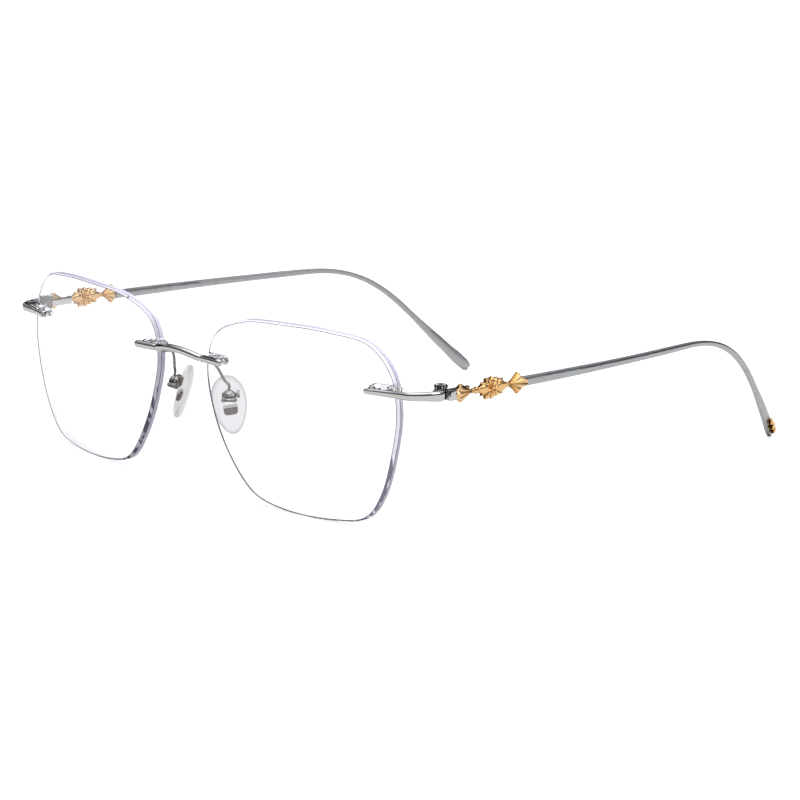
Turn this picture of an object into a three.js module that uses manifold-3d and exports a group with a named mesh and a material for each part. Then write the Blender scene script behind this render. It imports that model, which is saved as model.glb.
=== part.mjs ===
// Rimless three-piece eyeglasses: two drilled lenses, a bridge, two endpieces with barrel hinges,
// two folding temples with cast ornaments, and two rocking nose pads on wire arms.
// Millimetres. +X is the wearer's left, +Y runs back along the temples, +Z is up, and the glasses stand
// open on Z = 0 on the lens bottoms and the temple tips. Y = 0 is the middle of the depth.
import * as THREE from "three";
import { mergeVertices } from "three/addons/utils/BufferGeometryUtils.js";
import Module from "manifold-3d";

const wasm = await Module();
wasm.setup();

// ---------------------------------------------------------------- driving dimensions
const DEG = Math.PI / 180;
const ORIGIN_BACK = 68.24; // from the lens vertex plane back to the origin
const LENS_CENTRE_X = 38.3; // half the distance between the lens centres
const LENS_CENTRE_Z = 20.8; // puts the lens bottoms on Z = 0
const LENS_THICK = 1.8;
const LENS_RADIUS = 130; // front surface, a 4-dioptre base curve
const LENS_LEAN = 3 * DEG; // the top leans forward
const LENS_WRAP = 7.5 * DEG; // the outer side goes back
const LENS_BEVEL = 0.45; // diamond-cut edge, front and back
const MOUNT_V = 9.5; // height of the four lens mounts over the lens centre

const POST_R = 0.48; // brazed posts that pass through the lens
const SLEEVE_BORE_R = 0.6;
const SLEEVE_R = 0.92;
const LENS_HOLE_R = 1.07;
const BUSH_PLATE = 0.75; // thickness of the clear plate behind the lens
const GAP = 0.15; // clearance between pieces that touch

const BAR_Z = 30.25; // height of the bridge bars and endpieces
const HINGE_X = 67.0;
const HINGE_Y = 12.9;
const BARREL_R = 1.15;
const HINGE_Z = { bottom: 28.95, lower: 29.75, upper: 30.65, top: 31.25 }; // knuckle joints
const KNUCKLE_GAP = 0.1;
const HINGE_SCREW_R = 0.5;
const HINGE_HEAD_R = 1.42;

const ORNAMENT_X = 69.3;
const ORNAMENT_Z = 30.15;
const ARM_START_Y = 33.7;
const ARM_X = 68.6;
const ARM_Z = 29.95;
const ARM_LEVEL_Y = 36.2; // the inward curve starts here
const ARM_CURVE = 0.00121; // 1/mm, inward curve of the arm
const BEND_START = 53.25; // along the arm from ARM_LEVEL_Y
const BEND_LENGTH = 40;
const DROP_ANGLE = 45 * DEG;
const TIP_INWARD = 0.6; // extra inward curve of the last stretch
const TIP_CENTRE_Z = 0.58; // centreline height at the arm's end

const PAD_PIVOT = [9.7, 5.35, 21.75];
const PAD_LEAN = -16 * DEG;
const PAD_SPLAY = -35 * DEG;
const PAD_TURN = 8 * DEG;

// ---------------------------------------------------------------- solids and meshes
// A closed geometry as a solid.
function solidOf(geometry) {
  const bare = geometry.clone();
  bare.deleteAttribute("normal");
  bare.deleteAttribute("uv");
  const merged = mergeVertices(bare, 1e-4);
  return new wasm.Manifold(
    new wasm.Mesh({
      numProp: 3,
      vertProperties: merged.attributes.position.array,
      triVerts: new Uint32Array(merged.index.array),
    }),
  );
}

// A solid as a geometry.
function geometryOf(solid) {
  const mesh = solid.getMesh();
  const geometry = new THREE.BufferGeometry();
  geometry.setAttribute("position", new THREE.BufferAttribute(mesh.vertProperties.slice(), 3));
  geometry.setIndex(new THREE.BufferAttribute(mesh.triVerts.slice(), 1));
  return geometry;
}

// The geometries joined, less the cuts.
function carve(joined, cuts = []) {
  let solid = solidOf(joined[0]);
  for (const g of joined.slice(1)) solid = solid.add(solidOf(g));
  for (const g of cuts) solid = solid.subtract(solidOf(g));
  return geometryOf(solid);
}

// Six times the signed volume under a geometry's triangles: negative when it is inside out.
function signedVolume(position, index) {
  const [a, b, c] = [new THREE.Vector3(), new THREE.Vector3(), new THREE.Vector3()];
  let sum = 0;
  for (let i = 0; i < index.length; i += 3) {
    a.fromArray(position, index[i] * 3);
    b.fromArray(position, index[i + 1] * 3);
    c.fromArray(position, index[i + 2] * 3);
    sum += a.dot(b.cross(c));
  }
  return sum;
}

// A skin over rings of Vector3, each ring with the same count, closed at both ends by a fan.
function loft(rings) {
  const n = rings[0].length;
  const points = rings.flat();
  const index = [];
  for (let r = 0; r + 1 < rings.length; r++) {
    for (let i = 0; i < n; i++) {
      const [a, b] = [r * n + i, r * n + ((i + 1) % n)];
      index.push(a, b, a + n, b, b + n, a + n);
    }
  }
  for (const [ring, start, turn] of [
    [rings[0], 0, 1],
    [rings.at(-1), (rings.length - 1) * n, 0],
  ]) {
    const centre = points.length;
    points.push(ring.reduce((sum, p) => sum.add(p), new THREE.Vector3()).divideScalar(n));
    for (let i = 0; i < n; i++) {
      const [a, b] = [start + i, start + ((i + 1) % n)];
      index.push(centre, turn ? b : a, turn ? a : b);
    }
  }
  const position = new Float32Array(points.flatMap((p) => p.toArray()));
  if (signedVolume(position, index) < 0) index.reverse();
  const geometry = new THREE.BufferGeometry();
  geometry.setAttribute("position", new THREE.BufferAttribute(position, 3));
  geometry.setIndex(index);
  return geometry;
}

// A section of n points: an ellipse squared off by power, half width w along side, half height h along up.
function section(centre, side, up, w, h, n = 10, power = 2.6) {
  return Array.from({ length: n }, (_, i) => {
    const a = ((i + 0.5) / n) * 2 * Math.PI;
    const [c, s] = [Math.cos(a), Math.sin(a)];
    const r = 1 / (Math.abs(c) ** power + Math.abs(s) ** power) ** (1 / power);
    return centre
      .clone()
      .addScaledVector(side, w * r * c)
      .addScaledVector(up, h * r * s);
  });
}

// A bar along points, with reference the direction its height is measured in; size(t) gives
// [half width, half height] at t from 0 to 1 along it.
function sweep(points, reference, size, n = 10, power = 2.6) {
  const last = points.length - 1;
  const rings = points.map((p, i) => {
    const along = points[Math.min(i + 1, last)].clone().sub(points[Math.max(i - 1, 0)]);
    along.normalize();
    const up = reference.clone().addScaledVector(along, -reference.dot(along)).normalize();
    const side = up.clone().cross(along);
    const [w, h] = size(i / last);
    return section(p, side, up, w, h, n, power);
  });
  return loft(rings);
}

// Straight-line interpolation in a table of [position, value, ...] rows.
function table(rows, at) {
  const k = Math.max(0, Math.min(rows.length - 2, rows.findIndex((row) => row[0] > at) - 1));
  const [a, b] = at >= rows.at(-1)[0] ? [rows.at(-1), rows.at(-1)] : [rows[k], rows[k + 1]];
  const t = a === b ? 0 : (at - a[0]) / (b[0] - a[0]);
  return a.slice(1).map((v, i) => v + (b[i + 1] - v) * Math.max(0, t));
}

function box([x0, y0, z0], [x1, y1, z1]) {
  const g = new THREE.BoxGeometry(x1 - x0, y1 - y0, z1 - z0);
  return g.translate((x0 + x1) / 2, (y0 + y1) / 2, (z0 + z1) / 2);
}

// A cylinder from low to high along Z at x, y.
function rod(x, y, r, low, high, n = 16) {
  const g = new THREE.CylinderGeometry(r, r, high - low, n).rotateX(Math.PI / 2);
  return g.translate(x, y, (low + high) / 2);
}

// The same along Y at x, z: from front to back in a lens's own frame.
function pin(x, z, r, front, back, n = 12) {
  const g = new THREE.CylinderGeometry(r, r, back - front, n);
  return g.translate(x, (front + back) / 2, z);
}

function material(color, roughness, metalness, opacity = 1) {
  return new THREE.MeshStandardMaterial({
    color,
    roughness,
    metalness,
    opacity,
    transparent: opacity < 1,
  });
}
const STEEL = material(0xc4c8cc, 0.18, 1);
const GOLD = material(0xe0a860, 0.22, 1);
const LENS = material(0xf2f0fa, 0.02, 0, 0.3);
const CLEAR = material(0xf4f6f8, 0.12, 0, 0.5);
const SILICONE = material(0xf0eeec, 0.35, 0, 0.6);

function node(name, geometry, finish) {
  const mesh = new THREE.Mesh(geometry, finish);
  mesh.name = name;
  return mesh;
}

// ---------------------------------------------------------------- lens, in its own frame
// u runs out to the temple (+X), v up (+Z), and the front surface's vertex is at Y = 0.
const LENS_OUTLINE = [
  [24.2, -0.5],
  [24.7, 6.2],
  [23.1, 13.2],
  [17.6, 18.7],
  [8.5, 20.2],
  [-5.0, 20.4],
  [-18.6, 19.2],
  [-27.4, 15.1],
  [-29.95, 7.6],
  [-27.9, -2.4],
  [-23.0, -11.8],
  [-16.6, -18.5],
  [-8.0, -20.6],
  [7.0, -20.6],
  [15.6, -18.8],
  [20.4, -12.8],
];

const sag = (u, v) => (u * u + v * v) / (2 * LENS_RADIUS);

function lensSolid() {
  const curve = new THREE.CatmullRomCurve3(
    LENS_OUTLINE.map(([u, v]) => new THREE.Vector3(u, 0, v)),
    true,
    "centripetal",
  );
  const outline = curve.getPoints(48).slice(0, -1);
  // the lowest side is a level flat, the foot that the lens stands on
  const foot = outline.map((p, i) => [p.z, i]).sort((a, b) => a[0] - b[0]);
  foot.slice(0, 2).forEach(([, i]) => (outline[i].z = foot[0][0]));
  const ring = (inset, depth) =>
    outline.map((p) => {
      const k = 1 - inset / p.length();
      return new THREE.Vector3(p.x * k, depth + sag(p.x * k, p.z * k), p.z * k);
    });
  const span = 20; // the faces' inner rings are scaled-down outlines
  const rings = [
    ring(span, 0),
    ring(span / 2, 0),
    ring(LENS_BEVEL, 0),
    ring(0, LENS_BEVEL + 0.15),
    ring(0, LENS_THICK - LENS_BEVEL - 0.15),
    ring(LENS_BEVEL, LENS_THICK),
    ring(span / 2, LENS_THICK),
    ring(span, LENS_THICK),
  ];
  return loft(rings);
}

// A lens mount: a hole well inside the lens and a notch that opens to its edge, in line along u.
const MOUNTS = {
  nasal: { hole: -25.4, notch: -28.4, edge: -31, bar: [-23.6, -29.7] },
  temporal: { hole: 18.6, notch: 22.6, edge: 26, bar: [17.0, 23.8] },
};

function mountCuts({ hole, notch, edge }) {
  const [low, high] = [Math.min(notch, edge), Math.max(notch, edge)];
  return [
    pin(hole, MOUNT_V, LENS_HOLE_R, -1, 9),
    pin(notch, MOUNT_V, LENS_HOLE_R, -1, 9),
    box([low, -1, MOUNT_V - LENS_HOLE_R], [high, 9, MOUNT_V + LENS_HOLE_R]),
  ];
}

// The clear double bush: a plate behind the lens with two sleeves that line the hole and the notch.
function bushSolid({ hole, notch, bar }) {
  const back = (u) => sag(u, MOUNT_V) + LENS_THICK;
  const ends = [bar[0], bar[1]].map((u) => new THREE.Vector3(u, back(u) + GAP + 0.42, MOUNT_V));
  const steps = [0, 0.04, 0.12, 0.5, 0.88, 0.96, 1];
  const path = steps.map((t) => ends[0].clone().lerp(ends[1], t));
  const up = new THREE.Vector3(0, 0, 1);
  const round = [0.35, 0.75, 1, 1, 1, 0.75, 0.35];
  const plate = sweep(path, up, (t) => {
    const k = round[Math.round(t * (round.length - 1))];
    return [(BUSH_PLATE / 2) * (0.6 + 0.4 * k), 0.98 * k];
  });
  const sleeves = [hole, notch].map((u) =>
    pin(u, MOUNT_V, SLEEVE_R, sag(u, MOUNT_V) + 0.1, back(u) + 0.6),
  );
  const bores = [hole, notch].map((u) =>
    pin(u, MOUNT_V, SLEEVE_BORE_R, -1, back(u) + 0.25, 10),
  );
  return carve([plate, ...sleeves], bores);
}

// The posts of one mount, as seen in the lens frame, from the bar back into the sleeves.
function postSolids({ hole, notch }) {
  return [hole, notch].map((u) =>
    pin(u, MOUNT_V, POST_R, sag(u, MOUNT_V) - 0.8, sag(u, MOUNT_V) + LENS_THICK, 8),
  );
}

const lensPlace = new THREE.Matrix4().compose(
  new THREE.Vector3(LENS_CENTRE_X, 0, LENS_CENTRE_Z),
  new THREE.Quaternion().setFromEuler(new THREE.Euler(LENS_LEAN, 0, LENS_WRAP, "XYZ")),
  new THREE.Vector3(1, 1, 1),
);
const mirror = new THREE.Matrix4().makeScale(-1, 1, 1);

// A geometry reflected to the other side, with its faces turned back out.
function mirrored(geometry) {
  const g = geometry.clone().applyMatrix4(mirror);
  g.setIndex([...g.index.array].reverse());
  return g;
}

// A point a little in front of the lens, in the part's frame.
function beforeLens(u, v, off) {
  return new THREE.Vector3(u, sag(u, v) - off, v).applyMatrix4(lensPlace);
}

// ---------------------------------------------------------------- bridge
// A polished bar over each lens, a neck at the lens edge, and an arch between them.
function bridgeSolid() {
  const tip = beforeLens(-23.5, MOUNT_V, 0.95);
  const neck = beforeLens(-30.3, MOUNT_V, 1.05);
  const half = [
    [0, -2.95, 31.35, 0.84],
    [3.2, -2.8, 31.15, 0.84],
    [5.8, -2.35, 30.65, 0.84],
    [neck.x - 0.9, neck.y - 0.35, BAR_Z + 0.08, 0.8],
    [neck.x, neck.y, BAR_Z, 0.68],
    [neck.x + 0.7, neck.y, BAR_Z, 0.8],
    [(neck.x + tip.x) / 2, (neck.y + tip.y) / 2, BAR_Z, 0.8],
    [tip.x - 0.7, tip.y, BAR_Z, 0.78],
    [tip.x - 0.2, tip.y, BAR_Z, 0.6],
    [tip.x, tip.y, BAR_Z, 0.3],
  ];
  const rows = [...half.slice(1).reverse().map(([x, ...rest]) => [-x, ...rest]), ...half];
  const rings = rows.map(([x, y, z, r]) => [new THREE.Vector3(x, y, z), r]);
  const size = (t) => {
    const r = rings[Math.round(t * (rings.length - 1))][1];
    return [r * 0.95, r];
  };
  const bar = sweep(rings.map(([p]) => p), new THREE.Vector3(0, 0, 1), size, 12, 2.2);
  const posts = postSolids(MOUNTS.nasal).map((g) => g.applyMatrix4(lensPlace));
  return carve([bar, ...posts, ...posts.map((g) => mirrored(g))]);
}

// ---------------------------------------------------------------- endpiece and hinge
// A bar that lies on the lens front, sweeps round its edge and runs back to the hinge.
function endpieceSolid() {
  const tip = beforeLens(17.3, MOUNT_V, 0.9);
  const edge = beforeLens(24.2, MOUNT_V, 0.95);
  const stop = HINGE_Y - 1.6;
  const knots = [
    tip,
    edge,
    new THREE.Vector3(66.1, 4.9, BAR_Z + 0.15),
    new THREE.Vector3(68.3, 7.5, BAR_Z + 0.15),
    new THREE.Vector3(69.1, 9.8, BAR_Z + 0.05),
    new THREE.Vector3(69.2, stop, BAR_Z),
  ];
  knots[0].z = knots[1].z = BAR_Z;
  const path = new THREE.CatmullRomCurve3(knots, false, "centripetal").getSpacedPoints(20);
  const size = (t) =>
    table(
      [
        [0, 0.5, 0.5],
        [0.04, 0.58, 0.6],
        [0.45, 0.62, 0.74],
        [0.7, 0.68, 0.9],
        [1, 0.75, 1.12],
      ],
      t,
    );
  const bar = sweep(path, new THREE.Vector3(0, 0, 1), size);
  const posts = postSolids(MOUNTS.temporal).map((g) => g.applyMatrix4(lensPlace));
  return carve([bar, ...posts]);
}

// The front half of the hinge: a leaf on the endpiece's inner face with an upper and a lower knuckle.
function frontHingeSolid() {
  const { bottom, lower, upper, top } = HINGE_Z;
  const leaf = box([67.45, 9.2, bottom + 0.2], [68.15, HINGE_Y - 1.3, top - 0.2]);
  const web = box([HINGE_X - 0.2, HINGE_Y - 2, bottom], [67.9, HINGE_Y - 0.6, top]);
  const knuckle = rod(HINGE_X, HINGE_Y, BARREL_R, bottom, top);
  const gapMiddle = rod(HINGE_X, HINGE_Y, BARREL_R + GAP, lower, upper);
  const bore = rod(HINGE_X, HINGE_Y, HINGE_SCREW_R + 0.1, bottom - 1, top + 1);
  return carve([leaf, web, knuckle], [gapMiddle, bore]);
}

// The rear half: the middle knuckle, a block that carries the ornament, and a leaf behind the ornament.
function rearHingeSolid() {
  const { bottom, lower, upper, top } = HINGE_Z;
  const [low, high] = [lower + KNUCKLE_GAP, upper - KNUCKLE_GAP];
  const block = box([67.9, HINGE_Y + 0.1, bottom + 0.05], [69.9, 14.75, top - 0.1]);
  const leaf = box([67.4, HINGE_Y + 1.3, 29.3], [68.08, 20.2, 31.0]);
  const web = box([HINGE_X, HINGE_Y + 0.2, low], [68.3, 14.5, high]);
  const knuckle = rod(HINGE_X, HINGE_Y, BARREL_R, low, high);
  const clear = rod(HINGE_X, HINGE_Y, BARREL_R + GAP, low, high);
  const clearAbove = rod(HINGE_X, HINGE_Y, BARREL_R + GAP, high, top + 1);
  const clearBelow = rod(HINGE_X, HINGE_Y, BARREL_R + GAP, bottom - 1, low);
  const bore = rod(HINGE_X, HINGE_Y, HINGE_SCREW_R + 0.1, low - 1, high + 1);
  const body = carve([block, leaf], [clear, clearAbove, clearBelow]);
  return carve([body, web, knuckle], [bore]);
}

// A slotted screw dropped in from above.
function hingeScrewSolid() {
  const { bottom, top } = HINGE_Z;
  const head = top + GAP;
  const profile = [
    [0, bottom + 0.05],
    [HINGE_SCREW_R, bottom + 0.05],
    [HINGE_SCREW_R, head],
    [HINGE_HEAD_R, head],
    [HINGE_HEAD_R, head + 0.4],
    [HINGE_HEAD_R - 0.3, head + 0.55],
    [0, head + 0.55],
  ];
  const turned = new THREE.LatheGeometry(profile.map(([r, z]) => new THREE.Vector2(r, z)), 20)
    .rotateX(Math.PI / 2)
    .translate(HINGE_X, HINGE_Y, 0);
  const slot = box(
    [HINGE_X - 2, HINGE_Y - 0.2, head + 0.3],
    [HINGE_X + 2, HINGE_Y + 0.2, head + 1],
  );
  return carve([turned], [slot]);
}

// ---------------------------------------------------------------- temple
// The arm's centreline: level and curving inward, then bent down behind the ear to the tip.
function armPath() {
  const step = 3.2;
  const heading = (s) => {
    const t = Math.min(1, Math.max(0, (s - BEND_START) / BEND_LENGTH));
    return -DROP_ANGLE * t * t * (3 - 2 * t);
  };
  const points = [new THREE.Vector3(ARM_X, ARM_START_Y, ARM_Z)];
  let [s, y, z] = [ARM_START_Y - ARM_LEVEL_Y, ARM_START_Y, ARM_Z];
  while (z - TIP_CENTRE_Z > 0.01) {
    const fall = -Math.sin(heading(s + step / 2));
    const ds = fall > 0 ? Math.min(step, (z - TIP_CENTRE_Z) / fall) : step;
    s += ds;
    y += ds * Math.cos(heading(s - ds / 2));
    z -= ds * fall;
    const inward = ARM_CURVE * Math.max(0, s) ** 2 + TIP_INWARD * Math.max(0, (s - 85) / 25) ** 2;
    points.push(new THREE.Vector3(ARM_X - inward, y, z));
  }
  return { points, length: s };
}

// Half thickness and half height along the arm, from the front to the tip.
const ARM_SIZES = [
  [0, 0.6, 1.05],
  [0.4, 0.54, 0.76],
  [0.58, 0.5, 0.6],
  [0.8, 0.55, 0.72],
  [0.92, 0.7, 1.25],
  [0.965, 0.75, 1.55],
  [0.985, 0.7, 1.4],
  [1, 0.45, 0.8],
];

function armSolid(path) {
  const fine = new THREE.CatmullRomCurve3(path.points, false, "centripetal").getSpacedPoints(44);
  const ends = fine.slice(-2);
  fine.splice(-1, 0, ends[0].clone().lerp(ends[1], 0.6));
  const last = fine.length - 1;
  const size = (t) => table(ARM_SIZES, Math.min(1, (t * last) / (last - 1)));
  return sweep(fine, new THREE.Vector3(0, 0, 1), size, 8, 2.4);
}

// The cast ornament: a shell at each end and a flower between, with a socket for the arm.
const ORNAMENT_STATIONS = [
  // Y, half thickness, half height
  [15.2, 0.5, 1.0],
  [15.8, 0.75, 1.45],
  [16.6, 0.85, 1.85],
  [17.5, 0.85, 1.35],
  [18.8, 0.75, 0.75],
  [19.9, 0.6, 0.6],
  [21.2, 0.7, 1.05],
  [22.5, 0.85, 1.4],
  [23.3, 1.0, 2.0],
  [25.1, 1.3, 2.4],
  [26.9, 1.0, 1.95],
  [27.6, 0.85, 1.4],
  [28.9, 0.7, 0.95],
  [29.9, 0.6, 0.65],
  [31.2, 0.8, 1.2],
  [33.1, 1.1, 2.05],
  [34.5, 1.1, 1.45],
  [36.5, 0.9, 0.45],
];

function ornamentSolid() {
  const up = new THREE.Vector3(0, 0, 1);
  const side = new THREE.Vector3(1, 0, 0);
  const rings = ORNAMENT_STATIONS.map(([y, w, h]) =>
    section(new THREE.Vector3(ORNAMENT_X, y, ORNAMENT_Z), side, up, w, h, 12, 1.7),
  );
  const socket = box([ARM_X - 0.75, ARM_START_Y - 0.3, ARM_Z - 1.2], [ARM_X + 0.75, 40, ARM_Z + 1.2]);
  return carve([loft(rings)], [socket]);
}

// The small ornament on the outer face of the tip: three lobes in a row.
const TIP_STATIONS = [
  // distance before the end, half width, height
  [7.2, 0.3, 0.3],
  [6.5, 0.75, 0.6],
  [5.6, 0.85, 0.8],
  [4.7, 0.65, 0.6],
  [3.7, 1.1, 0.95],
  [2.7, 0.8, 0.65],
  [1.8, 0.95, 0.85],
  [1.0, 0.5, 0.4],
];

function tipOrnamentSolid(path) {
  const [before, end] = path.points.slice(-2);
  const along = end.clone().sub(before).normalize();
  const up = new THREE.Vector3(0, 0, 1);
  up.addScaledVector(along, -up.dot(along)).normalize();
  const out = along.clone().cross(up);
  const foot = 0.76 + GAP;
  const rings = TIP_STATIONS.map(([back, w, h]) =>
    Array.from({ length: 9 }, (_, i) => {
      const a = (i / 8) * Math.PI;
      return end
        .clone()
        .addScaledVector(along, -back)
        .addScaledVector(up, w * Math.cos(a))
        .addScaledVector(out, foot + h * Math.sin(a));
    }),
  );
  return loft(rings);
}

// ---------------------------------------------------------------- nose pad, in its own frame
// The pivot screw is the origin and lies along Y; the pad hangs on the -X side, towards the nose.
// The pad and its plate are turned a little in their own plane, so that the foot sits further back.
const PAD_BACK = -1.45;
const PAD_CENTRE_Z = -2.15;

function padSolid() {
  // half width at each height of an egg that is wider at the top
  const outline = Array.from({ length: 20 }, (_, i) => {
    const a = (i / 20) * 2 * Math.PI;
    return [3.75 * Math.cos(a) * (1 + 0.17 * Math.sin(a)), 6.5 * Math.sin(a)];
  });
  const ring = (x, k) =>
    outline.map(([y, z]) => new THREE.Vector3(x, y * k, PAD_CENTRE_Z + z * (1 - (1 - k) * 0.6)));
  const body = loft([
    ring(PAD_BACK, 0.8),
    ring(PAD_BACK - 0.4, 0.98),
    ring(PAD_BACK - 1.0, 1),
    ring(PAD_BACK - 1.7, 0.86),
    ring(PAD_BACK - 2.15, 0.5),
  ]);
  const pocket = box([PAD_BACK - 0.75, -1.75, -4.6], [PAD_BACK + 1, 1.75, 1.3]);
  return carve([body], [pocket]).rotateX(PAD_TURN);
}

// The stiff core that the pad is moulded on: a plate in the pad's back and a lug with the screw's eye.
function coreSolid() {
  const plate = box([PAD_BACK - 0.6, -1.5, -4.35], [PAD_BACK + 0.05, 1.5, 1.05]).rotateX(PAD_TURN);
  const stem = box([PAD_BACK, -0.5, -0.9], [-0.1, 0.5, 0.9]);
  const eye = pin(0, 0, 0.95, -0.5, 0.5);
  return carve([plate, stem, eye], [pin(0, 0, 0.5, -2, 2, 10)]);
}

// The box: two ears on a curved back, brazed to the end of the arm.
function padBoxSolid() {
  const shell = pin(0.1, 0, 1.75, -1.55, 1.55, 16);
  const slot = box([-2.5, -0.8, -2], [1.3, 0.8, 1.3]);
  const mouth = box([-2.5, -2, -2], [-0.95, 2, 2]);
  const bore = pin(0, 0, 0.5, -3, 3, 10);
  return carve([shell], [slot, mouth, bore]);
}

function padScrewSolid() {
  const shank = pin(0, 0, 0.38, -1.5, 1.7, 10);
  const head = pin(0, 0, 0.85, 1.65, 2.3, 12);
  const slot = box([-2, 2.05, -0.15], [2, 3, 0.15]);
  return carve([shank, head], [slot]);
}

// The wire from the back of the bridge down to the box, in the part's frame.
function padArmSolid(boxPlace) {
  const foot = new THREE.Vector3(0.8, 0, 1.9).applyMatrix4(boxPlace);
  const knots = [
    new THREE.Vector3(6.9, -0.95, 29.35),
    new THREE.Vector3(7.0, 0.8, 29.35),
    new THREE.Vector3(7.4, 2.3, 29.0),
    new THREE.Vector3(8.0, 3.3, 27.9),
    new THREE.Vector3(8.6, 3.95, 26.4),
    new THREE.Vector3(9.2, 4.5, 24.9),
    foot,
  ];
  const path = new THREE.CatmullRomCurve3(knots, false, "centripetal").getSpacedPoints(22);
  return sweep(path, new THREE.Vector3(1, 0, 0), () => [0.32, 0.32], 8, 2);
}

// ---------------------------------------------------------------- assembly
// One side of the glasses, built as the wearer's left and reflected for the right.
function side(name, sign) {
  const half = new THREE.Group();
  half.scale.x = sign;
  const named = (piece, geometry, finish) => node(`${piece}_${name}`, geometry, finish);

  const lensFrame = new THREE.Group();
  lensFrame.applyMatrix4(lensPlace);
  const cuts = [...mountCuts(MOUNTS.nasal), ...mountCuts(MOUNTS.temporal)];
  lensFrame.add(named("lens", carve([lensSolid()], cuts), LENS));
  lensFrame.add(named("bridge_bush", bushSolid(MOUNTS.nasal), CLEAR));
  lensFrame.add(named("endpiece_bush", bushSolid(MOUNTS.temporal), CLEAR));
  half.add(lensFrame);

  half.add(named("endpiece", endpieceSolid(), STEEL));
  half.add(named("front_hinge", frontHingeSolid(), STEEL));
  half.add(named("hinge_screw", hingeScrewSolid(), STEEL));

  const arm = armPath();
  half.add(named("rear_hinge", rearHingeSolid(), STEEL));
  half.add(named("temple_ornament", ornamentSolid(), GOLD));
  half.add(named("temple_arm", armSolid(arm), STEEL));
  half.add(named("tip_ornament", tipOrnamentSolid(arm), GOLD));

  const padFrame = new THREE.Group();
  padFrame.position.set(...PAD_PIVOT);
  padFrame.rotation.set(0, PAD_LEAN, PAD_SPLAY, "ZYX");
  padFrame.updateMatrix();
  padFrame.add(named("nose_pad", padSolid(), SILICONE));
  padFrame.add(named("pad_core", coreSolid(), STEEL));
  padFrame.add(named("pad_box", padBoxSolid(), STEEL));
  padFrame.add(named("pad_screw", padScrewSolid(), STEEL));
  half.add(padFrame);
  half.add(named("pad_arm", padArmSolid(padFrame.matrix), STEEL));
  return half;
}

const glasses = new THREE.Group();
glasses.position.y = -ORIGIN_BACK;
glasses.add(node("bridge", bridgeSolid(), STEEL));
glasses.add(side("left", 1));
glasses.add(side("right", -1));

const part = new THREE.Group();
part.add(glasses);
export default part;
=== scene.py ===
import math

import bmesh
import bpy
from mathutils import Matrix, Vector


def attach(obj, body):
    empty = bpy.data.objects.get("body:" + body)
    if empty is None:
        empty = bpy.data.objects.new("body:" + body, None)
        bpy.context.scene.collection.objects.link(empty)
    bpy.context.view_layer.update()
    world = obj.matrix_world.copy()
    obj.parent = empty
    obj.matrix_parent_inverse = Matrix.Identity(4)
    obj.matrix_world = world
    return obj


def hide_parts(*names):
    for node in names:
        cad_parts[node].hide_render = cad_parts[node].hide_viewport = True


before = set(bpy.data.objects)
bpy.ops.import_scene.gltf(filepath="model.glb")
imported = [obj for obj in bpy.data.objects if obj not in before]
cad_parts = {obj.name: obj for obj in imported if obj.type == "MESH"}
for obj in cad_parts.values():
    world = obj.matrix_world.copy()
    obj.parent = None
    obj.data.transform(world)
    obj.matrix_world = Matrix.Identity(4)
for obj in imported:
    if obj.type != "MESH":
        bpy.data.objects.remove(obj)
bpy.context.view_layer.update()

# ---------------------------------------------------------------- camera
# A long lens a little above the table, which sees the front of the glasses and the
# outside of the wearer's left temple.
CAMERA_PLACE = Vector((0.4538827, -0.4346525, 0.1451425))
CAMERA_AZIMUTH = math.radians(46.4436)
CAMERA_HEIGHT = math.radians(12.1340)
CAMERA_ROLL = math.radians(0.8304)
CAMERA_LENS, CAMERA_SENSOR = 121.887, 36  # focal length and sensor width, mm

sight = Vector(
    (
        math.sin(CAMERA_AZIMUTH) * math.cos(CAMERA_HEIGHT),
        -math.cos(CAMERA_AZIMUTH) * math.cos(CAMERA_HEIGHT),
        math.sin(CAMERA_HEIGHT),
    )
)
level = Vector((math.cos(CAMERA_AZIMUTH), math.sin(CAMERA_AZIMUTH), 0))
over = sight.cross(level)
across = level * math.cos(CAMERA_ROLL) + over * math.sin(CAMERA_ROLL)
upward = over * math.cos(CAMERA_ROLL) - level * math.sin(CAMERA_ROLL)

camera = bpy.data.objects.new("Camera", bpy.data.cameras.new("Camera"))
camera.data.sensor_width, camera.data.lens = CAMERA_SENSOR, CAMERA_LENS
camera.data.clip_start = 0.01
camera.data.clip_end = 20
turn = Matrix((across, upward, sight)).transposed().to_4x4()
camera.matrix_world = Matrix.Translation(CAMERA_PLACE) @ turn
bpy.context.scene.collection.objects.link(camera)
bpy.context.scene.camera = camera
bpy.context.scene.view_settings.view_transform = "Standard"


# ---------------------------------------------------------------- table and light
# A white laminate table that runs out of sight, under a large overhead softbox in a white room.
# Table and room are white to the eye and through the lenses. In reflections the table is greyer
# and the room has dark bands, which draw the grey and black lines along polished metal.
def linear(hex_colour, alpha=1.0):
    """An sRGB hex colour as a linear RGBA tuple."""
    parts = [int(hex_colour[i : i + 2], 16) / 255 for i in (1, 3, 5)]
    return (*[c / 12.92 if c <= 0.04045 else ((c + 0.055) / 1.055) ** 2.4 for c in parts], alpha)


def add_node(tree, kind, inputs=(), **settings):
    """A node with its settings, and its inputs set to values or linked from other nodes' sockets."""
    node = tree.nodes.new(kind)
    for key, value in settings.items():
        setattr(node, key, value)
    for key, value in dict(inputs).items():
        if isinstance(value, bpy.types.NodeSocket):
            tree.links.new(value, node.inputs[key])
        else:
            node.inputs[key].default_value = value
    return node


def set_stops(ramp, stops):
    """A colour ramp's stops, as (place, linear colour) pairs."""
    elements = ramp.color_ramp.elements
    while len(elements) < len(stops):
        elements.new(1.0)
    for element, (place, colour) in zip(elements, stops):
        element.position, element.color = place, colour


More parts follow.
